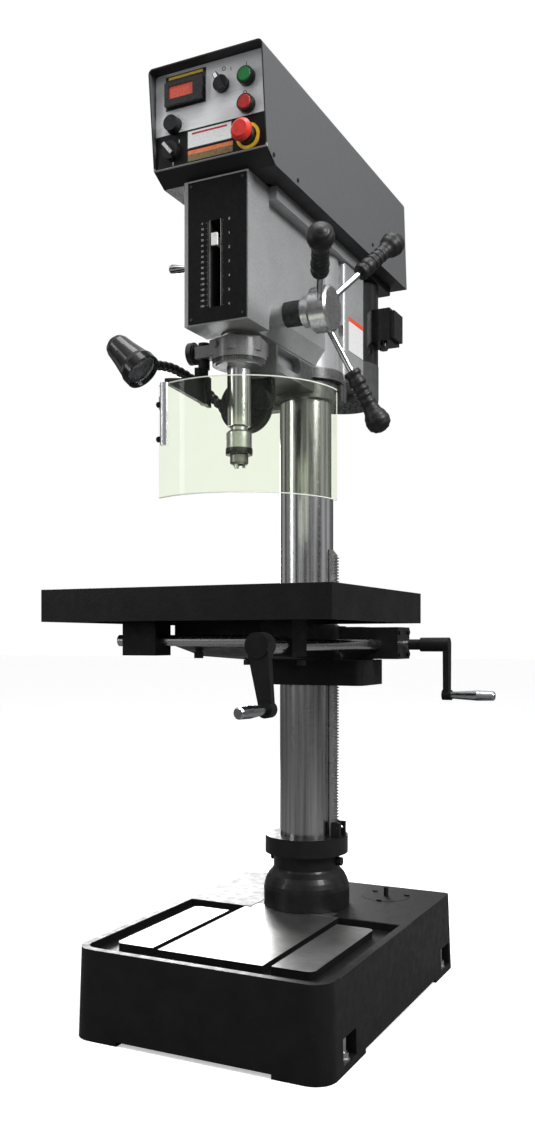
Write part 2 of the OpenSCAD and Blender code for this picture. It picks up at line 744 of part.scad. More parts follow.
module spindle_pulley() color(steel) translate([0, sy, 0]) difference() {
  union() {
    zcyl(22, 1573, pulley_z + 44);
    zcyl(63, pulley_z, pulley_z + 4);
    zcyl(60, pulley_z + 4, pulley_z + 26);
    zcyl(63, pulley_z + 26, pulley_z + 30);
  }
  zcyl(10.06, 1560, 1700);
}
belt_in = 0.4;
belt_thick = 5;
belt_b = asin(25 / (motor_y - sy));
function belt_arc(r, yc, from, to) = [for (i = [0:30]) let (q = from + (to - from) * i / 30)
  [r * cos(q), yc + r * sin(q)]];
function belt_outline(t) = concat(
  belt_arc(60 + t, sy, 180 - belt_b, 360 + belt_b),
  belt_arc(35 + t, motor_y, belt_b, 180 - belt_b));
module drive_belt() color(black) translate([0, 0, pulley_z + 5]) linear_extrude(20)
  difference() {
    polygon(belt_outline(belt_in + belt_thick));
    polygon(belt_outline(belt_in));
  }

// ---------------------------------------------------------------- chuck
module chuck_body() color(steel) translate([0, sy, 0]) difference() {
  union() {
    zcyl(24, 1093, 1122);
    translate([0, 0, 1122]) cylinder(r1 = 24, r2 = 20, h = 3.9);
  }
  zcyl(12.2, 1090, 1100);
}
module chuck_sleeve() color(dark) translate([0, sy, 0]) difference() {
  union() {
    zcyl(25.5, 1081, 1092.7);
    zcyl(17.5, 1066, 1082);
    translate([0, 0, 1063]) cylinder(r1 = 15.5, r2 = 17.5, h = 3);
  }
  zcyl(12.2, 1060, 1100);
  for (a = [0:20:340]) rotate(a) box(23.8, 27, -1.3, 1.3, 1079, 1086);
}
module chuck_jaws() color(steel) translate([0, sy, 1057]) for (a = [0, 120, 240])
  rotate(a) rotate_extrude(angle = 46) translate([6.5, 0]) square([5.4, 42]);

// ---------------------------------------------------------------- lamp
l0 = [-147.5, -420, 1232];
l1 = [-206, -420, 1289];
la = [0, 134.26, 0];
kn = [-175, -390, 1262];
module lamp_base() color(black) {
  union() {
    // plate under the head and round foot of the lamp
    box(-60, 20, -214, -196, 1200, 1249);
    ycyl(53, -238, -214, -29, 1194);
    translate([-80, -226, 1194]) sphere(r = 11);
  }
}
np = [[-87.9, -228, 1201.9], [-112, -234, 1226], [-140, -262, 1256], [-164, -302, 1270],
  [-175, -345, 1262], [-175, -371.7, 1262]];
module lamp_neck() color(black) union() for (i = [0:4]) {
  d = (np[i + 1] - np[i]) / norm(np[i + 1] - np[i]);
  bar(np[i] - (i > 0 ? 2.5 : 0) * d, np[i + 1] + (i < 4 ? 2.5 : 0) * d, i % 2 == 0 ? 9.5 : 9.1);
}
module lamp_frame() {
  translate(l1) rotate(la) children();
}
ll = norm(l0 - l1);
module lamp_head() color(black) union() {
  lamp_frame() rotate_extrude() polygon([[0, -6], [14, -6], [21, 0], [24, 8], [27, 30],
    [lamp_r - 3, ll - 20], [lamp_r, ll - 12], [lamp_r, ll + 4], [lamp_r - 3, ll + 4],
    [lamp_r - 5, ll - 8], [0, ll - 12]]);
  ycyl(9, kn[1] - 12, kn[1] + 18, kn[0], kn[2]);
}
module lamp_lens() color(clear) lamp_frame() translate([0, 0, ll - 8])
  cylinder(r = lamp_r - 5.2, h = 5);

// ---------------------------------------------------------------- guard
ga0 = -118.5;
ga1 = 1.4;
module guard_shield() color(clear) translate([gx, gy, guard_z1 - guard_h])
  rotate(ga0) rotate_extrude(angle = ga1 - ga0) translate([gr - guard_t / 2, 0])
    square([guard_t, guard_h]);
strip_a = ga0 + 6.4;
module at_strip() translate([gx, gy, 0]) rotate(strip_a) children();
module guard_strip() color(steel) at_strip() difference() {
  zcyl(9, guard_z1 - 109.5, guard_z1, gr + guard_t / 2, 0);
  box(gr - 20, gr + guard_t / 2 + 0.4, -20, 20, guard_z1 - 120, guard_z1 + 10);
}
// plate of the arm: distance in front of the post, height
arm_plate = [[-174, guard_z1 + 0.5], [27, guard_z1 + 0.5], [27, guard_z1 + 57],
  [-38, guard_z1 + 63], [-38, guard_z1 + 43], [-174, guard_z1 + 10]];
module guard_arm() color(black) {
  at_strip() for (z = [guard_z1 - 37, guard_z1 - 98]) ycyl(5.3, -12.4, -9.2, gr + 7.2, z);
  union() {
    translate([post_x, sy, 0]) rotate(7.6) side(arm_plate, 4);
    zcyl(8, guard_z1 + 0.5, 1294.5, post_x, sy);
    zcyl(11, 1251, 1268.7, post_x, sy);
    zcyl(11, 1294.3, 1301, post_x, sy);
  }
}

base_casting();
anchor_bolts();
sump_cover();
column_foot();
column();
rack();
rack_collar();
table_bracket();
clamp_lever();
table();
table_bolts();
cross_rod();
gearbox_housing();
worm_shaft();
pinion_shaft();
front_shaft();
right_crank();
right_handle();
front_crank();
front_handle();
head_casting();
head_screws();
scale_plate();
depth_pointer();
quill();
quill_bearings();
spindle();
depth_collar();
feed_shaft();
feed_dial();
feed_hub();
feed_arms();
feed_grips();
quill_lock();
hood();
control_panel();
display();
selector_knob();
speed_knob();
key_switch();
start_button();
stop_button();
estop_button();
panel_plates();
motor_body();
fan_cover();
junction_box();
motor_pulley();
spindle_pulley();
drive_belt();
chuck_body();
chuck_sleeve();
chuck_jaws();
lamp_base();
lamp_neck();
lamp_head();
lamp_lens();
guard_shield();
guard_strip();
guard_arm();
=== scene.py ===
"""Floor-standing drill press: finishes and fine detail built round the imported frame.

Metres, +Z up, floor at z = 0, the column's axis on the Z axis, operator at -Y.
"""

import math

import bmesh
import bpy
from mathutils import Matrix, Vector


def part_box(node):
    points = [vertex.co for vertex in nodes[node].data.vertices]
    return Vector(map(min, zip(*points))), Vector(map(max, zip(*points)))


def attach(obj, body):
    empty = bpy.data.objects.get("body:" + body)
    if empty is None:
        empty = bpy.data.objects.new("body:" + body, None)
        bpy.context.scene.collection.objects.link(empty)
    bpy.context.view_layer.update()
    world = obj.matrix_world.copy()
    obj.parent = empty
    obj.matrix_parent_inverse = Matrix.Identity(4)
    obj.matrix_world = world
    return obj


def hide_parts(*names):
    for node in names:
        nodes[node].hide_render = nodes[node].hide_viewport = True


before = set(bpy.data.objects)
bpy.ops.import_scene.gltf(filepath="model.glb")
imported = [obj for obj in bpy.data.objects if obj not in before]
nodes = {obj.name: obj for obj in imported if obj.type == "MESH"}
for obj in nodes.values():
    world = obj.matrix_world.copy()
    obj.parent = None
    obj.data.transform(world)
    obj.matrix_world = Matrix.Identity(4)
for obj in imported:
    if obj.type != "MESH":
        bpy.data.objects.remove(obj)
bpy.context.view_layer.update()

MM = 0.001
INCH = 0.0254
ROOT = "stand_and_head"

# Studio: how bright the floor and the reflected panels round the object are.
PANELS_PER_RADIAN = 2.2
PANEL_LIGHT = (0.03, 1.1)
FLOOR_GLOW = 0.45
FLOOR_THROUGH = 0.85

# Head: height of the column collar, axes of the quill and of its lock screw.
COLLAR_TOP = 1.303
QUILL_Y = -0.312
LOCK_Y = -0.354

# Control panel: its lower middle, and its controls as X right and Y up from there.
PANEL_ORIGIN = Vector((0, -0.4245, 1.594))
PANEL = Matrix.Translation(PANEL_ORIGIN) @ Matrix.Rotation(math.pi / 2, 4, "X")
SELECTOR, START, STOP = (0.0257, 0.1252), (0.0761, 0.1268), (0.076, 0.0785)
SPEED, KEY, ESTOP = (-0.0737, 0.074), (-0.0784, 0.0283), (0.0783, 0.0225)

# Flat marks lie just in their surface and stand proud of it by a print's thickness.
PRINT_BELOW, PRINT_ABOVE = -0.0001, 0.00015


# ---------------------------------------------------------------- materials
class Look:
    """A Principled material being built, with short calls for its textures."""

    def __init__(self, name, color, roughness=0.5, **values):
        self.material = bpy.data.materials.new(name)
        self.material.use_nodes = True
        self.tree = self.material.node_tree
        self.shader = self.tree.nodes["Principled BSDF"]
        self.place = self.add("ShaderNodeTexCoord").outputs["Object"]
        self.shader.inputs["Base Color"].default_value = (*color, 1)
        self.shader.inputs["Roughness"].default_value = roughness
        for socket, value in values.items():
            self.shader.inputs[socket.replace("_", " ")].default_value = value

    def add(self, kind, **settings):
        made = self.tree.nodes.new(kind)
        for key, value in settings.items():
            setattr(made, key, value)
        return made

    def plug(self, value, socket):
        if isinstance(value, bpy.types.NodeSocket):
            self.tree.links.new(value, socket)
        else:
            socket.default_value = value

    def where(self, stretch=(1, 1, 1)):
        """Object coordinates, stretched."""
        if tuple(stretch) == (1, 1, 1):
            return self.place
        mapping = self.add("ShaderNodeMapping")
        self.plug(self.place, mapping.inputs["Vector"])
        mapping.inputs["Scale"].default_value = stretch
        return mapping.outputs["Vector"]

    def noise(self, size, detail=3.0, rough=0.55, stretch=(1, 1, 1)):
        """Noise with features of the given size in metres."""
        made = self.add("ShaderNodeTexNoise")
        self.plug(self.where(stretch), made.inputs["Vector"])
        made.inputs["Scale"].default_value = 1 / size
        made.inputs["Detail"].default_value = detail
        made.inputs["Roughness"].default_value = rough
        return made.outputs["Fac"]

    def cells(self, size, stretch=(1, 1, 1), feature="SMOOTH_F1"):
        made = self.add("ShaderNodeTexVoronoi", feature=feature)
        self.plug(self.where(stretch), made.inputs["Vector"])
        made.inputs["Scale"].default_value = 1 / size
        return made.outputs["Distance"]

    def ramp(self, value, low, high, start, end):
        """Maps value from low..high to start..end, clamped."""
        made = self.add("ShaderNodeMapRange")
        for socket, x in zip(made.inputs[:5], (value, low, high, start, end)):
            self.plug(x, socket)
        return made.outputs["Result"]

    def math(self, operation, a, b=0.0):
        made = self.add("ShaderNodeMath", operation=operation)
        self.plug(a, made.inputs[0])
        self.plug(b, made.inputs[1])
        return made.outputs["Value"]

    def mix(self, share, a, b):
        """Colour a where share is 0, colour b where it is 1."""
        made = self.add("ShaderNodeMix", data_type="RGBA")
        self.plug(share, made.inputs[0])
        self.plug(a if isinstance(a, bpy.types.NodeSocket) else (*a, 1), made.inputs[6])
        self.plug(b if isinstance(b, bpy.types.NodeSocket) else (*b, 1), made.inputs[7])
        return made.outputs[2]

    def axis(self, index, source=None):
        split = self.add("ShaderNodeSeparateXYZ")
        self.plug(source or self.place, split.inputs[0])
        return split.outputs[index]

    def within(self, index, low, high):
        """1 between two planes along an axis, 0 outside."""
        value = self.axis(index)
        above = self.math("GREATER_THAN", value, low)
        below = self.math("LESS_THAN", value, high)
        return self.math("MULTIPLY", above, below)

    def facing_up(self):
        geometry = self.add("ShaderNodeNewGeometry")
        return self.axis(2, geometry.outputs["Normal"])

    def edges(self, radius, samples=4):
        """1 on sharp edges and 0 on flat faces, from a rounded normal."""
        bevel = self.add("ShaderNodeBevel", samples=samples)
        bevel.inputs["Radius"].default_value = radius
        geometry = self.add("ShaderNodeNewGeometry")
        dot = self.add("ShaderNodeVectorMath", operation="DOT_PRODUCT")
        self.plug(bevel.outputs["Normal"], dot.inputs[0])
        self.plug(geometry.outputs["Normal"], dot.inputs[1])
        return self.ramp(dot.outputs["Value"], 0.99, 0.85, 0, 1)

    def bump(self, height, depth, strength=1.0):
        """Adds a bump of the given depth in metres on top of those made before."""
        made = self.add("ShaderNodeBump")
        made.inputs["Strength"].default_value = strength
        made.inputs["Distance"].default_value = depth
        self.plug(height, made.inputs["Height"])
        socket = self.shader.inputs["Normal"]
        if socket.is_linked:
            self.plug(socket.links[0].from_socket, made.inputs["Normal"])
        self.plug(made.outputs["Normal"], socket)

    def paint(self, color):
        self.plug(color, self.shader.inputs["Base Color"])

    def dull(self, roughness):
        self.plug(roughness, self.shader.inputs["Roughness"])

    def metal(self, share):
        self.plug(share, self.shader.inputs["Metallic"])


def enamel(name, dark, light, roughness=0.42, grain=0.0022, depth=0.00025, coat=0.0, dust=0.0):
    """Enamel over rough cast iron: orange peel, faint blotches, dusty upper faces."""
    look = Look(name, dark, roughness, Specular_IOR_Level=0.22, Coat_Weight=coat,
                Coat_Roughness=0.12)
    blotch = look.ramp(look.noise(0.05, 5, 0.6), 0.35, 0.7, 0, 1)
    color = look.mix(blotch, dark, light)
    if dust:
        settle = look.math("MULTIPLY", look.ramp(look.facing_up(), 0.6, 1, 0, dust),
                           look.ramp(look.noise(0.03, 6, 0.7), 0.3, 0.7, 0.3, 1))
        color = look.mix(settle, color, (0.24, 0.235, 0.225))
    look.paint(color)
    look.dull(look.ramp(look.noise(0.02, 4), 0.3, 0.7, roughness - 0.07, roughness + 0.1))
    look.bump(look.noise(0.012, 3), depth * 2.2, 0.5)
    look.bump(look.noise(grain, 2), depth, 0.6)
    return look


def hammertone(name, dark, light):
    """Hammered enamel: shallow round dimples with a silvery fleck."""
    look = Look(name, light, 0.35, Metallic=0.25, Coat_Weight=0.35, Coat_Roughness=0.15)
    dimple = look.cells(0.0038)
    fleck = look.noise(0.0011, 2)
    shade = look.math("ADD", look.ramp(dimple, 0.1, 0.75, 0.2, 0.55),
                      look.ramp(fleck, 0.35, 0.65, -0.08, 0.16))
    blotch = look.ramp(look.noise(0.06, 4), 0.3, 0.7, 0.0, 0.2)
    look.paint(look.mix(look.math("ADD", shade, blotch), dark, light))
    look.dull(look.ramp(dimple, 0.1, 0.7, 0.34, 0.48))
    look.bump(dimple, 0.00045, 0.55)
    return look


def head_look():
    """Head casting: hammered enamel, darkened round the column collar by painted shade."""
    look = hammertone("head_hammertone", (0.25, 0.253, 0.257), (0.44, 0.445, 0.45))
    cast = look.shader.inputs["Base Color"].links[0].from_socket
    # Painted shade: below the collar top and near the column, the casting is painted a mottled
    # near black for the shade under the head.
    collar = look.ramp(look.axis(2), COLLAR_TOP - 0.003, COLLAR_TOP + 0.003, 1, 0)
    near = look.ramp(look.axis(1), -0.16, -0.12, 0, 1)
    collar_shade = look.mix(look.ramp(look.noise(0.01, 4), 0.35, 0.7, 0, 1), (0.05, 0.05, 0.052),
                    (0.1, 0.1, 0.103))
    cast = look.mix(look.math("MULTIPLY", collar, near), cast, collar_shade)
    # Painted shade: faces of the casting within this box, its hollow inside, are painted near
    # black and dull.
    core_half, core_front, core_back, core_low, core_high = 0.0484, -0.4085, -0.05, 1.33, 1.567
    hollow_shade = look.math("MULTIPLY", look.within(0, -core_half, core_half),
                       look.within(2, core_low, core_high))
    hollow_shade = look.math("MULTIPLY", hollow_shade, look.within(1, core_front, core_back))
    look.paint(look.mix(hollow_shade, cast, (0.01, 0.01, 0.01)))
    look.dull(look.ramp(hollow_shade, 0, 1, 0.41, 0.8))
    return look


def quill_look():
    """Ground quill with fine rings; the keyway along its front is painted near black as painted
    shade.
    """
    look = steel("quill_steel", (0.6, 0.6, 0.61), 0.17, (1, 1, 8))
    ground = look.shader.inputs["Base Color"].links[0].from_socket
    keyway_half, keyway_low = 0.0105, 1.335
    front = look.math("LESS_THAN", look.axis(1), QUILL_Y - 0.02)
    keyway = look.math("MULTIPLY", look.within(0, -keyway_half, keyway_half),
                       look.math("GREATER_THAN", look.axis(2), keyway_low))
    keyway = look.math("MULTIPLY", keyway, front)
    # Painted shade: the keyway strip inside the head is near black and not metallic.
    look.paint(look.mix(keyway, ground, (0.012, 0.012, 0.012)))
    look.metal(look.math("SUBTRACT", 1.0, keyway))
    return look


def powder(name, color, roughness=0.5, grain=0.0009, depth=0.00016):
    """Fine textured powder coat on sheet metal."""
    look = Look(name, color, roughness, Specular_IOR_Level=0.3)
    speck = look.noise(grain, 2, 0.6)
    lighter = tuple(c * 1.5 + 0.004 for c in color)
    look.paint(look.mix(look.ramp(speck, 0.4, 0.7, 0, 1), color, lighter))
    look.dull(look.ramp(look.noise(0.04, 4), 0.3, 0.7, roughness - 0.05, roughness + 0.08))
    look.bump(speck, depth, 0.7)
    return look


def steel(name, color, roughness, lay=(1, 1, 1), depth=0.00002, stain=0.1):
    """Machined steel: fine tool lines along the lay, a few darker oil stains."""
    look = Look(name, color, roughness, Metallic=1.0)
    lines = look.noise(0.0015, 3, 0.7, lay)
    stains = look.ramp(look.noise(0.018, 5, 0.65), 0.45, 0.75, 0, stain)
    look.paint(look.mix(stains, color, tuple(c * 0.35 for c in color)))
    spread = look.ramp(lines, 0.3, 0.7, roughness * 0.7, roughness * 1.35)
    look.dull(look.math("ADD", spread, stains))
    look.bump(lines, depth, 0.5)
    return look


def chrome(name):
    """Bright plating with finger smudges."""
    look = Look(name, (0.7, 0.71, 0.73), 0.14, Metallic=1.0)
    smudge = look.ramp(look.noise(0.014, 5, 0.6), 0.45, 0.7, 0, 1)
    look.paint(look.mix(smudge, (0.66, 0.67, 0.69), (0.5, 0.51, 0.53)))
    look.dull(look.ramp(smudge, 0, 1, 0.12, 0.28))
    look.bump(look.noise(0.006, 2), 0.00003, 0.4)
    return look


def plastic(name, color, roughness=0.35, grain=0.0007, depth=0.00005, wear=0.0, **values):
    """Moulded plastic: fine eroded grain, slight shade changes, worn edges."""
    look = Look(name, color, roughness, **{"Specular_IOR_Level": 0.35, **values})
    shade = look.ramp(look.noise(0.008, 4), 0.35, 0.7, 0, 1)
    made = look.mix(shade, color, tuple(min(1, c * 1.25 + 0.003) for c in color))
    if wear:
        rubbed = look.math("MULTIPLY", look.edges(0.0012),
                           look.ramp(look.noise(0.005, 4), 0.45, 0.65, 0, wear))
        made = look.mix(rubbed, made, (0.3, 0.3, 0.3))
    look.paint(made)
    look.dull(look.ramp(look.noise(0.006, 3), 0.3, 0.7, roughness - 0.06, roughness + 0.1))
    look.bump(look.noise(grain, 2), depth, 0.6)
    return look


def clear_plastic(name, tint, roughness, ior):
    """Transparent sheet with fine wipe marks and a few scratches."""
    look = Look(name, tint, roughness, Transmission_Weight=1.0, IOR=ior)
    wipe = look.noise(0.004, 4, 0.6, (1, 1, 0.25))
    look.paint(look.mix(look.ramp(look.noise(0.03, 3), 0.3, 0.7, 0, 1), tint,
                        tuple(c * 0.985 for c in tint)))
    look.dull(look.ramp(wipe, 0.45, 0.7, roughness, roughness + 0.03))
    look.bump(wipe, 0.00001, 0.2)
    return look


def lever_look():
    """Bright lever with dark flutes round it: the flutes are stripes of painted shade."""
    look = steel("lever_steel", (0.6, 0.6, 0.61), 0.28, (0.2, 1, 1), stain=0.2)
    bright = look.shader.inputs["Base Color"].links[0].from_socket
    lever_z, flute_count, flutes_from = 1.432, 10.0, -0.088
    y = look.math("SUBTRACT", look.axis(1), LOCK_Y)
    z = look.math("SUBTRACT", look.axis(2), lever_z)
    turn = look.math("MULTIPLY", look.math("ARCTAN2", z, y), flute_count)
    flutes = look.math("SINE", turn)
    out = look.math("LESS_THAN", look.axis(0), flutes_from)
    share = look.math("MULTIPLY", look.ramp(flutes, -0.2, 0.2, 0, 1), out)
    # Painted shade: dark stripes round the outer part stand for the shade in its flutes.
    look.paint(look.mix(share, bright, (0.04, 0.04, 0.04)))
    return look


def shield_look():
    """Pale green sheet whose upper and lower edges catch the light."""
    look = clear_plastic("shield_polycarbonate", (0.86, 0.915, 0.77), 0.01, 1.2)
    low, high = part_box("guard_shield")
    edge = 0.0016
    rim = look.math("SUBTRACT", 1.0, look.within(2, low.z + edge, high.z - edge))
    tint = look.shader.inputs["Base Color"].links[0].from_socket
    look.paint(look.mix(rim, tint, (0.9, 0.93, 0.88)))
    look.plug(look.math("SUBTRACT", 1.0, look.math("MULTIPLY", rim, 0.75)),
              look.shader.inputs["Transmission Weight"])
    return look


def chuck_sleeve_look():
    """Chuck sleeve: blackened key ring, bright nose."""
    look = steel("sleeve_steel", (0.24, 0.24, 0.245), 0.3, (1, 1, 6), stain=0.15)
    nose = 0.0175
    ring = look.math("GREATER_THAN", look.axis(2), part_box("chuck_sleeve")[0].z + nose)
    bright = look.shader.inputs["Base Color"].links[0].from_socket
    oxide = look.mix(look.ramp(look.noise(0.004, 4), 0.35, 0.7, 0, 1), (0.03, 0.03, 0.031),
                     (0.075, 0.075, 0.078))
    look.paint(look.mix(ring, bright, oxide))
    return look


def stop_collar_look():
    """Stop collar: hammered block, blackened knurl round its lower disc, bright rim."""
    look = hammertone("collar_hammertone", (0.09, 0.09, 0.092), (0.21, 0.21, 0.215))
    cast = look.shader.inputs["Base Color"].links[0].from_socket
    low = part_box("depth_collar")[0]
    rim_top, knurl_top, knob_end, teeth_round = low.z + 0.003, low.z + 0.011, -0.0891, 96.0
    x, y = look.axis(0), look.math("ADD", look.axis(1), -QUILL_Y)
    knurl = look.math("MULTIPLY", look.math("LESS_THAN", look.axis(2), knurl_top),
                      look.math("GREATER_THAN", look.axis(2), rim_top))
    rim = look.math("LESS_THAN", look.axis(2), rim_top)
    knob = look.math("LESS_THAN", look.axis(0), knob_end)
    turned = look.mix(look.ramp(look.noise(0.0015, 3, 0.7, (1, 1, 8)), 0.3, 0.7, 0, 1),
                      (0.42, 0.42, 0.43), (0.6, 0.6, 0.61))
    color = look.mix(rim, cast, turned)
    color = look.mix(knurl, color, (0.03, 0.03, 0.031))
    color = look.mix(knob, color, look.mix(look.ramp(look.noise(0.003, 3), 0.4, 0.7, 0, 1),
                                           (0.012, 0.012, 0.012), (0.022, 0.022, 0.022)))
    look.paint(color)
    look.metal(look.math("MULTIPLY", rim, 0.9))
    teeth = look.math("SINE", look.math("MULTIPLY", look.math("ARCTAN2", y, x), teeth_round))
    look.bump(look.math("MULTIPLY", teeth, knurl), 0.0008, 1.0)
    return look


def base_look():
    """Black base with machined pads: the pads' plane is bare ground iron."""
    look = enamel("base_enamel", (0.006, 0.006, 0.0065), (0.01, 0.01, 0.0105), 0.4, coat=0.06,
                  dust=0.02)
    shader = look.shader
    painted = shader.inputs["Base Color"].links[0].from_socket
    dull = shader.inputs["Roughness"].links[0].from_socket
    pad_face, pad_front, pad_back, tolerance = 0.1647, -0.43, -0.05, 0.0003
    pad = look.math("MULTIPLY", look.within(2, pad_face - tolerance, pad_face + tolerance),
                    look.within(1, pad_front, pad_back))
    lines = look.noise(0.0016, 3, 0.7, (0.06, 1, 1))
    cloud = look.noise(0.06, 5, 0.6)
    bare = look.mix(look.ramp(cloud, 0.3, 0.72, 0, 1), (0.50, 0.50, 0.49), (0.33, 0.33, 0.33))
    bare = look.mix(look.ramp(lines, 0.35, 0.7, 0, 0.35), bare, (0.2, 0.2, 0.2))
    look.paint(look.mix(pad, painted, bare))
    look.metal(pad)
    ground = look.ramp(lines, 0.3, 0.7, 0.3, 0.5)
    look.dull(look.math("ADD", look.math("MULTIPLY", pad, ground),
                        look.math("MULTIPLY", look.math("SUBTRACT", 1.0, pad), dull)))
    return look


def table_look():
    """Black table casting; the working face and the T-slots are bare machined iron."""
    look = enamel("table_enamel", (0.005, 0.005, 0.0055), (0.01, 0.01, 0.0105), 0.5,
                  grain=0.003, depth=0.0004)
    shader = look.shader
    painted = shader.inputs["Base Color"].links[0].from_socket
    dull = shader.inputs["Roughness"].links[0].from_socket
    face, above, slot_floor, slot_top = 0.8228, 0.83, 0.8010, 0.8235
    top = look.within(2, face, above)
    slots = look.math("MULTIPLY", look.within(2, slot_floor, slot_top),
                      look.math("SUBTRACT", 1.0, look.within(2, face + 0.0001, above)))
    inner = look.math("MULTIPLY", look.within(1, -0.505, -0.125), look.within(0, -0.25, 0.25))
    bare_share = look.math("MAXIMUM", top, look.math("MULTIPLY", slots, inner))
    lines = look.noise(0.0016, 3, 0.7, (1, 0.05, 1))
    bare = look.mix(look.ramp(look.noise(0.08, 5), 0.3, 0.7, 0, 1), (0.5, 0.5, 0.5),
                    (0.36, 0.36, 0.36))
    look.paint(look.mix(bare_share, painted, bare))
    look.metal(bare_share)
    ground = look.ramp(lines, 0.3, 0.7, 0.25, 0.42)
    look.dull(look.math("ADD", look.math("MULTIPLY", bare_share, ground),
                        look.math("MULTIPLY", look.math("SUBTRACT", 1.0, bare_share), dull)))
    return look


def column_look():
    """Ground steel tube: fine rings from grinding, faint lengthwise ripples painted as reflection
    streaks.
    """
    look = Look("column_steel", (0.6, 0.6, 0.61), 0.2, Metallic=1.0)
    streak = look.noise(0.011, 3, 0.6, (1, 1, 0.02))
    rings = look.noise(0.0011, 2, 0.6, (0.08, 0.08, 1))
    # Painted reflection: the lengthwise streaks run the colour lighter and darker along the tube.
    look.paint(look.mix(look.ramp(streak, 0.35, 0.65, 0, 1), (0.66, 0.66, 0.67),
                        (0.34, 0.34, 0.35)))
    look.dull(look.ramp(rings, 0.3, 0.7, 0.13, 0.26))
    look.bump(rings, 0.00001, 0.5)
    look.bump(streak, 0.00018, 0.6)
    return look


def rack_look():
    look = steel("rack_steel", (0.62, 0.62, 0.62), 0.28, (1, 1, 0.2), stain=0.25)
    grease = look.ramp(look.noise(0.007, 4), 0.5, 0.7, 0, 0.6)
    tooth_root, beyond = 0.0672, 0.08
    teeth = look.within(0, tooth_root, beyond)
    old = look.shader.inputs["Base Color"].links[0].from_socket
    look.paint(look.mix(look.math("MULTIPLY", teeth, grease), old, (0.05, 0.045, 0.04)))
    return look


def hood_look():
    """Grey textured sheet; black panel frame, painted shade underneath, painted highlight on its
    lower lip.
    """
    look = powder("hood_powder", (0.085, 0.087, 0.09), 0.46)
    sheet = look.shader.inputs["Base Color"].links[0].from_socket
    geometry = look.add("ShaderNodeNewGeometry")
    normal = geometry.outputs["Normal"]
    # Faces turned to the front are the black frame; faces turned downwards are painted black as
    # painted shade under the hood.
    front_frame_and_under_shade = look.math("MAXIMUM", look.math("LESS_THAN", look.axis(1, normal), -0.6),
                        look.math("LESS_THAN", look.axis(2, normal), -0.3))
    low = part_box("hood")[0]
    lip_low, lip_high, lip_back = low.z + 0.0188, low.z + 0.0245, -0.425
    # Painted highlight: a band along the front of the lower lip is painted light grey.
    lip = look.math("MULTIPLY", look.math("LESS_THAN", look.axis(2), lip_high),
                    look.math("GREATER_THAN", look.axis(2), lip_low))
    lip = look.math("MULTIPLY", lip, look.math("LESS_THAN", look.axis(1), lip_back))
    color = look.mix(front_frame_and_under_shade, sheet, (0.02, 0.02, 0.021))
    look.paint(look.mix(lip, color, (0.4, 0.4, 0.4)))
    return look


def panel_look():
    """Panel plate: brushed silver film above, black below."""
    look = Look("panel_film", (0.6, 0.61, 0.63), 0.35)
    black_height = 0.0606
    split = PANEL_ORIGIN.z + black_height
    silver = look.math("GREATER_THAN", look.axis(2), split)
    lines = look.noise(0.0014, 3, 0.7, (0.03, 1, 1))
    film = look.mix(look.ramp(lines, 0.3, 0.7, 0, 1), (0.95, 0.96, 0.98), (0.8, 0.81, 0.83))
    black = look.mix(look.ramp(look.noise(0.0012, 2), 0.4, 0.7, 0, 1), (0.006, 0.006, 0.0065),
                     (0.011, 0.011, 0.0115))
    look.paint(look.mix(silver, black, film))
    look.metal(look.math("MULTIPLY", silver, 0.1))
    look.plug(look.ramp(silver, 0, 1, 0.2, 0.5), look.shader.inputs["Specular IOR Level"])
    look.dull(look.ramp(lines, 0.3, 0.7, 0.28, 0.42))
    look.bump(look.noise(0.0012, 2), 0.00004, 0.4)
    return look


def display_look():
    """Black case with a lit window behind a dark red filter."""
    look = Look("display_case", (0.02, 0.02, 0.02), 0.3)
    left, right, bottom, top, window_out = -0.0789, -0.0291, 0.1186, 0.1414, 0.0105
    in_x = look.within(0, left, right)
    in_z = look.within(2, PANEL_ORIGIN.z + bottom, PANEL_ORIGIN.z + top)
    behind = look.math("GREATER_THAN", look.axis(1), PANEL_ORIGIN.y - window_out)
    window = look.math("MULTIPLY", look.math("MULTIPLY", in_x, in_z), behind)
    rows = look.noise(0.0016, 1, 0.5, (1, 1, 3))
    glow = look.mix(look.ramp(rows, 0.3, 0.7, 0, 1), (0.42, 0.05, 0.03), (0.58, 0.1, 0.06))
    case = look.mix(look.ramp(look.noise(0.003, 3), 0.4, 0.7, 0, 1), (0.012, 0.012, 0.013),
                    (0.03, 0.03, 0.03))
    look.paint(look.mix(window, case, glow))
    look.plug(look.mix(window, (0, 0, 0), glow), look.shader.inputs["Emission Color"])
    look.shader.inputs["Emission Strength"].default_value = 0.3
    look.dull(look.ramp(look.noise(0.004, 3), 0.3, 0.7, 0.22, 0.36))
    look.bump(look.noise(0.0008, 2), 0.00005, 0.4)
    return look


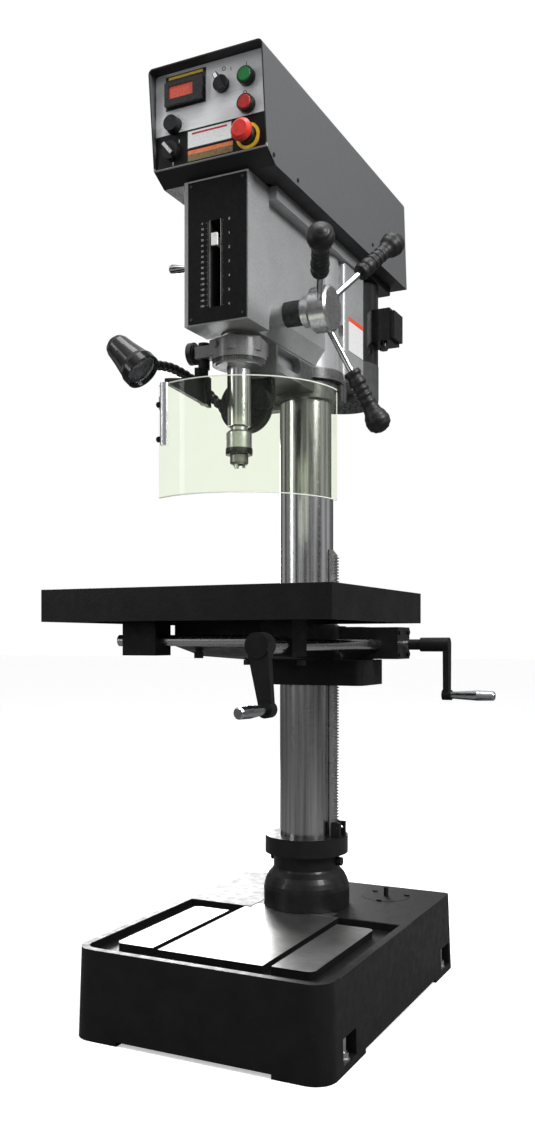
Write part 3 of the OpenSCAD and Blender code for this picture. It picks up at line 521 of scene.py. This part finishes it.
def plates_look():
    """Small plates: yellow ring, silver badge, orange plate, white side plate, all blank."""
    look = Look("plates_print", (0.7, 0.7, 0.7), 0.3)
    ring_from, band_from = 0.0525, 1.426
    badge_half, badge_low, badge_high = 0.0445, PANEL_ORIGIN.z + 0.0266, PANEL_ORIGIN.z + 0.0562
    stripe_half, stripe_low, stripe_high = (0.036, PANEL_ORIGIN.z + 0.0495,
                                            PANEL_ORIGIN.z + 0.053)
    warm_middle, warm_top = PANEL_ORIGIN.z + 0.0148, PANEL_ORIGIN.z + 0.0235
    side = look.math("GREATER_THAN", look.axis(1), 0.0)
    side_band = look.math("MULTIPLY", side, look.math("GREATER_THAN", look.axis(2), band_from))
    ring = look.math("GREATER_THAN", look.axis(0), ring_from)
    orange = look.math("LESS_THAN", look.axis(2), warm_top)
    speck = look.ramp(look.noise(0.0035, 4), 0.35, 0.7, 0, 1)
    badge = look.mix(speck, (0.82, 0.82, 0.83), (0.9, 0.9, 0.91))
    inner = look.math("MULTIPLY", look.within(0, -badge_half, badge_half),
                      look.within(2, badge_low, badge_high))
    badge = look.mix(inner, (0.03, 0.03, 0.03), badge)
    stripe = look.math("MULTIPLY", look.within(2, stripe_low, stripe_high),
                       look.within(0, -stripe_half, stripe_half))
    badge = look.mix(look.math("MULTIPLY", stripe, inner), badge, (0.55, 0.03, 0.03))
    warm = look.mix(speck, (0.78, 0.2, 0.07), (0.86, 0.26, 0.1))
    lower = look.math("LESS_THAN", look.axis(2), warm_middle)
    warm = look.mix(lower, warm, look.mix(speck, (0.2, 0.14, 0.06), (0.27, 0.2, 0.09)))
    color = look.mix(orange, badge, warm)
    color = look.mix(ring, color, look.mix(speck, (0.85, 0.5, 0.02), (0.93, 0.58, 0.05)))
    color = look.mix(side, color, look.mix(speck, (0.7, 0.7, 0.7), (0.8, 0.8, 0.8)))
    look.paint(look.mix(side_band, color, (0.8, 0.09, 0.04)))
    look.dull(look.ramp(speck, 0, 1, 0.25, 0.4))
    look.bump(look.noise(0.002, 2), 0.00003, 0.4)
    return look


LOOKS = {
    "base": base_look(),
    "table": table_look(),
    "column": column_look(),
    "rack": rack_look(),
    "black_cast": enamel("black_enamel", (0.006, 0.006, 0.0065), (0.011, 0.011, 0.0115), 0.45,
                         grain=0.003, depth=0.0004),
    "foot": enamel("foot_enamel", (0.008, 0.008, 0.0085), (0.014, 0.014, 0.0145), 0.36,
                   coat=0.1),
    "head": head_look(),
    "collar": stop_collar_look(),
    "hood": hood_look(),
    "ground": steel("ground_steel", (0.63, 0.63, 0.64), 0.2, (1, 1, 0.05)),
    "rod": steel("rod_steel", (0.63, 0.63, 0.64), 0.2, (0.05, 1, 1)),
    "steel": steel("turned_steel", (0.5, 0.5, 0.505), 0.28, (1, 1, 6)),
    "sleeve": chuck_sleeve_look(),
    "quill": quill_look(),
    "zinc": steel("zinc_plate", (0.62, 0.63, 0.62), 0.3, stain=0.3),
    "oxide": steel("black_oxide", (0.07, 0.07, 0.072), 0.38, stain=0.4),
    "crank": enamel("crank_enamel", (0.007, 0.007, 0.0075), (0.013, 0.013, 0.0135), 0.4,
                    grain=0.002, depth=0.00025),
    "chrome": chrome("bright_chrome"),
    "hub": steel("hub_steel", (0.66, 0.66, 0.67), 0.24, (6, 1, 1)),
    "grip": plastic("grip_plastic", (0.008, 0.008, 0.008), 0.42, 0.0011, 0.00009, wear=0.3),
    "knob": plastic("knob_plastic", (0.008, 0.008, 0.008), 0.35, wear=0.35),
    "panel": panel_look(),
    "display": display_look(),
    "plates": plates_look(),
    "green": plastic("green_plastic", (0.006, 0.15, 0.03), 0.3, Coat_Weight=0.25),
    "dark_red": plastic("dark_red_plastic", (0.36, 0.02, 0.014), 0.32, Coat_Weight=0.25),
    "red": plastic("red_plastic", (0.62, 0.03, 0.02), 0.3, Coat_Weight=0.3),
    "scale": plastic("scale_black", (0.004, 0.004, 0.0045), 0.5, 0.0009, 0.00004,
                     Specular_IOR_Level=0.12),
    "bright": steel("bright_steel", (0.62, 0.62, 0.63), 0.25, (6, 1, 1)),
    "yellow": plastic("yellow_print", (1.0, 0.62, 0.06), 0.4),
    "print": plastic("scale_print_paint", (0.5, 0.5, 0.49), 0.5, Specular_IOR_Level=0.1),
    "white": plastic("white_paint", (0.8, 0.8, 0.78), 0.4, 0.0009, 0.00003),
    "motor": enamel("motor_enamel", (0.006, 0.006, 0.0065), (0.01, 0.01, 0.0105), 0.3,
                    grain=0.0016, depth=0.00014, coat=0.3),
    "fan": enamel("fan_enamel", (0.05, 0.051, 0.052), (0.08, 0.081, 0.082), 0.38,
                  grain=0.0016, depth=0.00015),
    "rubber": plastic("belt_rubber", (0.012, 0.012, 0.012), 0.7, 0.0012, 0.0001),
    "lamp": enamel("lamp_enamel", (0.006, 0.006, 0.006), (0.01, 0.01, 0.01), 0.24,
                   grain=0.0016, depth=0.00008, coat=0.4),
    "lever": lever_look(),
    "shield": shield_look(),
    "lens": clear_plastic("lens_glass", (0.85, 0.87, 0.9), 0.12, 1.45),
    "strip": steel("strip_aluminium", (0.68, 0.69, 0.71), 0.3, (1, 1, 0.05), stain=0.05),
}

NODE_LOOKS = {
    "base": ["base_casting"],
    "table": ["table"],
    "column": ["column"],
    "rack": ["rack"],
    "black_cast": ["table_bracket", "sump_cover"],
    "foot": ["column_foot", "rack_collar", "gearbox_housing"],
    "head": ["head_casting"],
    "collar": ["depth_collar"],
    "hood": ["hood"],
    "ground": ["front_shaft"],
    "rod": ["cross_rod"],
    "steel": ["worm_shaft", "pinion_shaft", "quill_bearings", "spindle",
              "feed_shaft", "chuck_body", "chuck_jaws", "motor_pulley", "spindle_pulley"],
    "quill": ["quill"],
    "zinc": ["anchor_bolts"],
    "oxide": ["head_screws", "feed_dial", "table_bolts"],
    "sleeve": ["chuck_sleeve"],
    "crank": ["right_crank", "front_crank", "clamp_lever", "guard_arm"],
    "chrome": ["right_handle", "front_handle", "feed_arms"],
    "hub": ["feed_hub", "quill_lock"],
    "grip": ["feed_grips"],
    "knob": ["selector_knob", "speed_knob", "key_switch"],
    "panel": ["control_panel"],
    "display": ["display"],
    "plates": ["panel_plates"],
    "green": ["start_button"],
    "dark_red": ["stop_button"],
    "red": ["estop_button"],
    "scale": ["scale_plate"],
    "white": ["depth_pointer"],
    "motor": ["motor_body", "junction_box"],
    "fan": ["fan_cover"],
    "rubber": ["drive_belt"],
    "lamp": ["lamp_base", "lamp_neck", "lamp_head"],
    "shield": ["guard_shield"],
    "lens": ["lamp_lens"],
    "strip": ["guard_strip"],
}


def dress(obj, look):
    obj.data.materials.clear()
    obj.data.materials.append(LOOKS[look].material)


for look_name, members in NODE_LOOKS.items():
    for member in members:
        dress(nodes[member], look_name)


# ---------------------------------------------------------------- mesh helpers
def piece(name, mesh, look, body):
    """Makes a mesh into a piece that rides on a body."""
    obj = bpy.data.objects.new(name, mesh)
    bpy.context.scene.collection.objects.link(obj)
    dress(obj, look)
    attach(obj, body)
    return obj


def from_bmesh(name, bm, smooth=True):
    mesh = bpy.data.meshes.new(name)
    bmesh.ops.recalc_face_normals(bm, faces=bm.faces)
    bm.to_mesh(mesh)
    bm.free()
    for polygon in mesh.polygons:
        polygon.use_smooth = smooth
    return mesh


def lathe(bm, profile, matrix, steps=48):
    """Adds the solid that (radius, height) points sweep about the matrix's Z axis."""
    rings = []
    for r, z in profile:
        if r < 1e-6:
            rings.append([bm.verts.new(matrix @ Vector((0, 0, z)))])
            continue
        rings.append([bm.verts.new(matrix @ Vector((r * math.cos(a), r * math.sin(a), z)))
                      for a in (2 * math.pi * i / steps for i in range(steps))])
    for low, high in zip(rings, rings[1:]):
        for i in range(steps):
            j = (i + 1) % steps
            corner = [low[i % len(low)], low[j % len(low)], high[j % len(high)],
                      high[i % len(high)]]
            unique = list(dict.fromkeys(corner))
            if len(unique) > 2:
                bm.faces.new(unique)


def slab(bm, outline, bottom, top, matrix):
    """Adds a flat plate with the outline, between two heights of the matrix's frame."""
    low = [bm.verts.new(matrix @ Vector((x, y, bottom))) for x, y in outline]
    high = [bm.verts.new(matrix @ Vector((x, y, top))) for x, y in outline]
    bm.faces.new(low[::-1])
    bm.faces.new(high)
    for i in range(len(outline)):
        j = (i + 1) % len(outline)
        bm.faces.new([low[i], low[j], high[j], high[i]])


def rounded(x0, y0, x1, y1, r, steps=5):
    """Outline of a rectangle with round corners."""
    points = []
    corners = [(x1 - r, y1 - r, 0), (x0 + r, y1 - r, 1), (x0 + r, y0 + r, 2), (x1 - r, y0 + r, 3)]
    for cx, cy, quarter in corners:
        for i in range(steps + 1):
            a = math.pi / 2 * (quarter + i / steps)
            points.append((cx + r * math.cos(a), cy + r * math.sin(a)))
    return points


def tube(bm, centres, radii, steps=20):
    """Adds a closed tube along points, with its own radius at each."""
    rings = []
    side = Vector((0, 0, 1))
    for i, centre in enumerate(centres):
        ahead = centres[min(i + 1, len(centres) - 1)] - centres[max(i - 1, 0)]
        ahead.normalize()
        side = (side - ahead * side.dot(ahead)).normalized()
        up = ahead.cross(side)
        rings.append([bm.verts.new(centre + (side * math.cos(a) + up * math.sin(a)) * radii[i])
                      for a in (2 * math.pi * k / steps for k in range(steps))])
    for low, high in zip(rings, rings[1:]):
        for k in range(steps):
            j = (k + 1) % steps
            bm.faces.new([low[k], low[j], high[j], high[k]])
    bm.faces.new(rings[0][::-1])
    bm.faces.new(rings[-1])


def numeral(bm, text, height, matrix, thick=0.00012):
    """Adds a number as thin raised solid print, centred on the matrix's origin."""
    curve = bpy.data.curves.new("numeral", "FONT")
    curve.body = text
    curve.size = height
    curve.align_x = "CENTER"
    curve.align_y = "CENTER"
    curve.extrude = thick
    curve.resolution_u = 3
    holder = bpy.data.objects.new("numeral", curve)
    mesh = holder.to_mesh()
    mesh.transform(matrix)
    bm.from_mesh(mesh)
    holder.to_mesh_clear()
    bpy.data.objects.remove(holder)
    bpy.data.curves.remove(curve)


# ---------------------------------------------------------------- head details
def facing_front(x, y, z):
    """Frame at a point of the head's front, X right, Y up, Z towards the operator."""
    return Matrix.Translation((x, y, z)) @ Matrix.Rotation(math.pi / 2, 4, "X")


def scale_marks():
    """White graduations beside the pointer slot: millimetres left, inches right."""
    plate_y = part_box("scale_plate")[0].y
    slot_half, gap, top, border_low = 0.010, 0.0035, 1.489, 1.335
    line, border_top = 0.00016, 1.4925
    bm = bmesh.new()

    def mark(x0, x1, z, width):
        at = facing_front(0, plate_y, z)
        slab(bm, [(x0, -width / 2), (x1, -width / 2), (x1, width / 2), (x0, width / 2)],
             PRINT_BELOW, PRINT_ABOVE, at)

    for i in range(0, 151, 2):
        long = 0.0055 if i % 10 == 0 else 0.0026
        mark(-slot_half - gap - long, -slot_half - gap, top - i * MM, line)
        if i % 10 == 0:
            numeral(bm, str(i), 0.0052, facing_front(-0.027, plate_y, top - i * MM))
    for i in range(49):
        z = top - i * INCH / 8
        long = 0.0035 if i % 8 == 0 else 0.0016
        mark(slot_half + gap, slot_half + gap + long, z, line)
        if i % 8 == 0:
            numeral(bm, str(i // 8), 0.0066, facing_front(0.0285, plate_y, z))
    for side in (-1, 1):
        at = facing_front(side * (slot_half + 0.0012), plate_y, (border_top + border_low) / 2)
        slab(bm, [(-0.0003, -0.079), (0.0003, -0.079), (0.0003, 0.079), (-0.0003, 0.079)],
             PRINT_BELOW, PRINT_ABOVE, at)
    piece("scale_print", from_bmesh("scale_print", bm, False), "print", ROOT)


def dial_marks():
    """Graduations round the depth dial."""
    low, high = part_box("feed_dial")
    centre = (low + high) / 2
    radius = 0.0245
    bm = bmesh.new()
    marks, inset, half = 60, 0.0004, 0.0002
    for i in range(marks):
        long = 0.004 if i % 5 == 0 else 0.0025
        at = (Matrix.Translation((high.x, centre.y, centre.z))
              @ Matrix.Rotation(2 * math.pi * i / marks, 4, "X")
              @ Matrix.Translation((0, 0, radius)))
        slab(bm, [(-long - inset, -half), (-inset, -half), (-inset, half),
                  (-long - inset, half)], PRINT_BELOW, PRINT_ABOVE, at)
    piece("dial_print", from_bmesh("dial_print", bm, False), "white", "feed")


def grips():
    """Ribbed grips ending in a ball, turned to a smooth profile of (place, radius) points."""
    hub = Vector((0.1488, -0.277, 1.344))
    first_arm, splay, start, length = 47.2, 0.437, 0.117, 0.1256
    ribs = [(0.0008, 0.0155), (0.006, 0.0165), (0.0125, 0.0135), (0.019, 0.0160),
            (0.026, 0.0168), (0.032, 0.0134), (0.038, 0.0156), (0.0445, 0.0134),
            (0.051, 0.0156), (0.0575, 0.0134), (0.064, 0.0155), (0.071, 0.0140)]
    ball = [(0.081, 0.0162), (0.0935, 0.0215), (0.1035, 0.0237), (0.1135, 0.0218),
            (0.1215, 0.0150), (0.1252, 0.0060)]
    points = ribs + ball
    profile = [(0.0063, 0.0), (0.0148, 0.0)]
    for (here, radius), (there, next_radius) in zip(points, points[1:]):
        for t in (0, 0.25, 0.5, 0.75):
            ease = (1 - math.cos(math.pi * t)) / 2
            profile.append((radius + (next_radius - radius) * ease, here + (there - here) * t))
    profile += [points[-1][::-1], (0.0, length)]
    bm = bmesh.new()
    for k in range(3):
        a = math.radians(first_arm + 120 * k)
        radial = Vector((splay, math.cos(a), math.sin(a)))
        foot = hub + radial * start
        turn = radial.to_track_quat("Z", "Y").to_matrix().to_4x4()
        lathe(bm, profile, Matrix.Translation(foot) @ turn, 40)
    made = piece("ribbed_grips", from_bmesh("ribbed_grips", bm), "grip", "feed")
    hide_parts("feed_grips")


def gooseneck():
    """Segmented lamp neck along a smooth curve."""
    way = [Vector(p) for p in ((-0.0865, -0.2277, 1.2005), (-0.100, -0.231, 1.214),
                               (-0.116, -0.236, 1.231), (-0.139, -0.261, 1.2545),
                               (-0.158, -0.295, 1.2675), (-0.171, -0.328, 1.267),
                               (-0.175, -0.352, 1.263), (-0.175, -0.3715, 1.262))]
    centres = []
    fine = 24
    for i in range(len(way) - 1):
        a, b = way[max(i - 1, 0)], way[i]
        c, d = way[i + 1], way[min(i + 2, len(way) - 1)]
        for k in range(fine):
            t = k / fine
            centres.append(((b * 2) + (c - a) * t + (a * 2 - b * 5 + c * 4 - d) * t * t
                            + (b * 3 - a - c * 3 + d) * t ** 3) / 2)
    centres.append(way[-1])
    core, swell, segment = 0.0076, 0.0024, 0.0125
    run, radii = 0.0, []
    for i, centre in enumerate(centres):
        run += (centre - centres[i - 1]).length if i else 0
        radii.append(core + swell * abs(math.sin(math.pi * run / segment)) ** 0.6)
    bm = bmesh.new()
    tube(bm, centres, radii, 24)
    made = piece("ribbed_neck", from_bmesh("ribbed_neck", bm), "lamp", ROOT)
    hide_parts("lamp_neck")


# ---------------------------------------------------------------- panel details
def on_panel(x, y, z=0.0):
    """Frame at a point of the panel: X right, Y up the panel, Z out of it; metres."""
    return PANEL @ Matrix.Translation((x, y, z))


def ring_outline(bm, radius, width, matrix, steps=28):
    """Adds a thin flat ring."""
    profile = [(radius - width / 2, 0), (radius + width / 2, 0), (radius + width / 2, 0.0002),
               (radius - width / 2, 0.0002), (radius - width / 2, 0)]
    lathe(bm, profile, matrix, steps)


def panel_print():
    """Plain symbols on the panel: off circles, on bars, dots round the speed knob."""
    bm = bmesh.new()
    half, low, high, dots_out = 0.0006, 0.0001, 0.0003, 0.0195
    bar = [(-half, -0.003), (half, -0.003), (half, 0.003), (-half, 0.003)]
    dot = [(-half, -half), (half, -half), (half, half), (-half, half)]
    for x, y in ((0.029, 0.1537), (0.071, 0.1014)):
        ring_outline(bm, 0.0032, 0.0011, on_panel(x, y, low))
    for x, y in ((0.0743, 0.1518), (0.043, 0.1502)):
        slab(bm, bar, low, high, on_panel(x, y))
    for i in range(11):
        a = math.radians(30 * i - 60)
        at = on_panel(SPEED[0] + dots_out * math.cos(a), SPEED[1] + dots_out * math.sin(a))
        slab(bm, dot, low, high, at)
    piece("panel_symbols", from_bmesh("panel_symbols", bm, False), "knob", ROOT)
    bm = bmesh.new()
    for x, y in ((-0.0635, 0.0445), (-0.0765, 0.006)):
        slab(bm, bar, low, high, on_panel(x, y))
    piece("panel_white_marks", from_bmesh("panel_white_marks", bm, False), "white", ROOT)


def knob_pointers():
    """White stripe at the end of the selector's bar, steel ridge on the key switch."""
    bm = bmesh.new()
    at = on_panel(*SELECTOR, 0.019) @ Matrix.Rotation(math.radians(25), 4, "Z")
    slab(bm, rounded(-0.0032, 0.006, 0.0032, 0.0152, 0.0008), 0, 0.0004, at)
    piece("selector_line", from_bmesh("selector_line", bm, False), "white", "selector")
    bm = bmesh.new()
    at = on_panel(*KEY, 0.018) @ Matrix.Rotation(math.radians(40), 4, "Z")
    slab(bm, rounded(-0.003, -0.0135, 0.003, 0.0135, 0.001), 0, 0.0012, at)
    piece("key_ridge", from_bmesh("key_ridge", bm, False), "strip", "key")


def button_collars():
    """Deep black bezels round the push buttons and the stem of the stop button."""
    bm = bmesh.new()
    for x, y in (START, STOP):
        profile = [(0.0128, 0.0002), (0.0158, 0.0002), (0.0156, 0.0115), (0.015, 0.0125),
                   (0.0131, 0.0125), (0.0128, 0.0002)]
        lathe(bm, profile, on_panel(x, y), 48)
    barrel = [(0.0082, 0.0003), (0.0158, 0.0003), (0.0158, 0.012), (0.0145, 0.0142),
              (0.0082, 0.0142), (0.0082, 0.0003)]
    lathe(bm, barrel, on_panel(*ESTOP), 48)
    piece("button_bezels", from_bmesh("button_bezels", bm), "knob", ROOT)


def display_label():
    """Black field with a yellow strip over the window, left blank."""
    bm = bmesh.new()
    field = rounded(-0.091, 0.1595, -0.008, 0.1655, 0.0012)
    slab(bm, field, 0.0001, 0.0016, on_panel(0, 0))
    piece("display_field", from_bmesh("display_field", bm, False), "knob", ROOT)
    bm = bmesh.new()
    strip = rounded(-0.0845, 0.1585, -0.013, 0.1632, 0.0006)
    slab(bm, strip, 0.0015, 0.0021, on_panel(0, 0))
    piece("display_strip", from_bmesh("display_strip", bm, False), "yellow", ROOT)


def lock_lever():
    """Tapered lever on the quill lock screw, fluted only by stripes of painted shade in its
    material.
    """
    steps, end, start, rise = 24, -0.126, -0.074, 0.009
    lever_z, screw_z, screw_r = 1.4295, 1.428, 0.005
    bm = bmesh.new()
    profile = [(0.0, 0.0), (0.0036, 0.0), (0.0042, 0.004), (0.0062, 0.02), (0.0085, 0.042),
               (0.0085, 0.0485), (0.0068, 0.0515), (0.0, 0.0515)]
    lean = Vector((end - start, 0, rise))
    turn = lean.to_track_quat("Z", "Y").to_matrix().to_4x4()
    lathe(bm, profile, Matrix.Translation((start, LOCK_Y, lever_z)) @ turn, steps)
    outward = Matrix.Translation((start, LOCK_Y, screw_z)) @ Matrix.Rotation(-math.pi / 2, 4, "Y")
    lathe(bm, [(0.0, -0.0365), (screw_r, -0.0365), (screw_r, 0.003), (0.0, 0.003)], outward,
          steps)
    made = piece("fluted_lever", from_bmesh("fluted_lever", bm), "lever", "quill_lock_screw")
    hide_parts("quill_lock")


def build_details():
    scale_marks()
    dial_marks()
    grips()
    gooseneck()
    panel_print()
    knob_pointers()
    button_collars()
    display_label()
    lock_lever()


build_details()


# ---------------------------------------------------------------- studio
def surround():
    """White backdrop; reflections see tall dark and light panels round the object."""
    world = bpy.data.worlds.new("studio")
    world.use_nodes = True
    bpy.context.scene.world = world
    tree = world.node_tree
    background = tree.nodes["Background"]

    def node(kind, *inputs, **settings):
        made = tree.nodes.new(kind)
        for key, value in settings.items():
            setattr(made, key, value)
        for socket, value in zip(made.inputs, inputs):
            if isinstance(value, bpy.types.NodeSocket):
                tree.links.new(value, socket)
            else:
                socket.default_value = value
        return made

    around = node("ShaderNodeSeparateXYZ", node("ShaderNodeTexCoord").outputs["Generated"])
    angle = node("ShaderNodeMath", around.outputs[1], around.outputs[0],
                 operation="ARCTAN2").outputs[0]
    panels = node("ShaderNodeTexNoise", noise_dimensions="1D")
    tree.links.new(angle, panels.inputs["W"])
    panels.inputs["Scale"].default_value = PANELS_PER_RADIAN
    panels.inputs["Detail"].default_value = 3
    level = node("ShaderNodeMapRange", panels.outputs["Fac"], 0.42, 0.6, *PANEL_LIGHT)
    high = node("ShaderNodeMapRange", around.outputs[2], 0.35, 0.8, 0.0, 1.0)
    shade = node("ShaderNodeMath", level.outputs[0], high.outputs[0], operation="ADD")
    shade = node("ShaderNodeMath", shade.outputs[0], 0.5, operation="MULTIPLY")
    path = node("ShaderNodeLightPath")
    seen = node("ShaderNodeMath", path.outputs["Is Camera Ray"],
                path.outputs["Is Transmission Ray"], operation="MAXIMUM").outputs[0]
    mixed = node("ShaderNodeMix", seen, data_type="FLOAT")
    tree.links.new(shade.outputs[0], mixed.inputs[2])
    mixed.inputs[3].default_value = 1.0
    background.inputs["Color"].default_value = (1, 1, 1, 1)
    tree.links.new(mixed.outputs[0], background.inputs["Strength"])


def paper_floor():
    """White paper sweep under the object."""
    floor_mesh = bpy.data.meshes.new("floor")
    reach = 40
    floor_mesh.from_pydata([(-reach, -reach, 0), (reach, -reach, 0), (reach, reach, 0),
                            (-reach, reach, 0)], [], [(0, 1, 2, 3)])
    floor = bpy.data.objects.new("floor", floor_mesh)
    bpy.context.scene.collection.objects.link(floor)
    paper = Look("floor_paper", (0.9, 0.9, 0.9), 0.9)
    white = paper.mix(paper.noise(0.5, 4), (0.88, 0.88, 0.88), (0.92, 0.92, 0.92))
    paper.shader.inputs["Emission Color"].default_value = (1, 1, 1, 1)
    path = paper.add("ShaderNodeLightPath")
    seen, through = path.outputs["Is Camera Ray"], path.outputs["Is Transmission Ray"]
    glow = paper.math("ADD", paper.math("MULTIPLY", seen, FLOOR_GLOW),
                      paper.math("MULTIPLY", through, FLOOR_THROUGH))
    paper.plug(glow, paper.shader.inputs["Emission Strength"])
    paper.paint(paper.mix(seen, (0.12, 0.12, 0.12), white))
    floor_mesh.materials.append(paper.material)


def softbox(name, place, target, size, power):
    """Area light aimed at a point, not seen itself."""
    lamp = bpy.data.lights.new(name, "AREA")
    lamp.shape = "RECTANGLE"
    lamp.size, lamp.size_y = size
    lamp.energy = power
    obj = bpy.data.objects.new(name, lamp)
    obj.location = place
    obj.visible_camera = False
    obj.visible_transmission = False
    obj.rotation_euler = (Vector(target) - Vector(place)).to_track_quat("-Z", "Y").to_euler()
    bpy.context.scene.collection.objects.link(obj)


def studio():
    """Floor, backdrop, four lights and the camera at the photograph's angle."""
    paper_floor()
    surround()
    softbox("key", (2.8, -1.0, 2.8), (0, -0.1, 1.2), (1.0, 1.4), 110)
    softbox("fill", (-2.4, -2.6, 2.0), (0, -0.2, 1.0), (0.4, 2.4), 20)
    softbox("top", (0.2, -0.6, 4.0), (0, 0, 0.2), (2.0, 2.0), 70)
    softbox("rim", (-2.3, 3.2, 1.3), (-0.2, -0.1, 0.4), (1.2, 1.2), 60)

    scene = bpy.context.scene
    lens = bpy.data.cameras.new("camera")
    lens.sensor_width = 36
    lens.lens = 32.96
    lens.shift_y = 0.0703
    camera = bpy.data.objects.new("camera", lens)
    camera.location = (0.9089, -2.0323, 0.7291)
    camera.rotation_euler = (math.pi / 2, 0, math.radians(26.27))
    scene.collection.objects.link(camera)
    scene.camera = camera
    scene.view_settings.view_transform = "Standard"


studio()
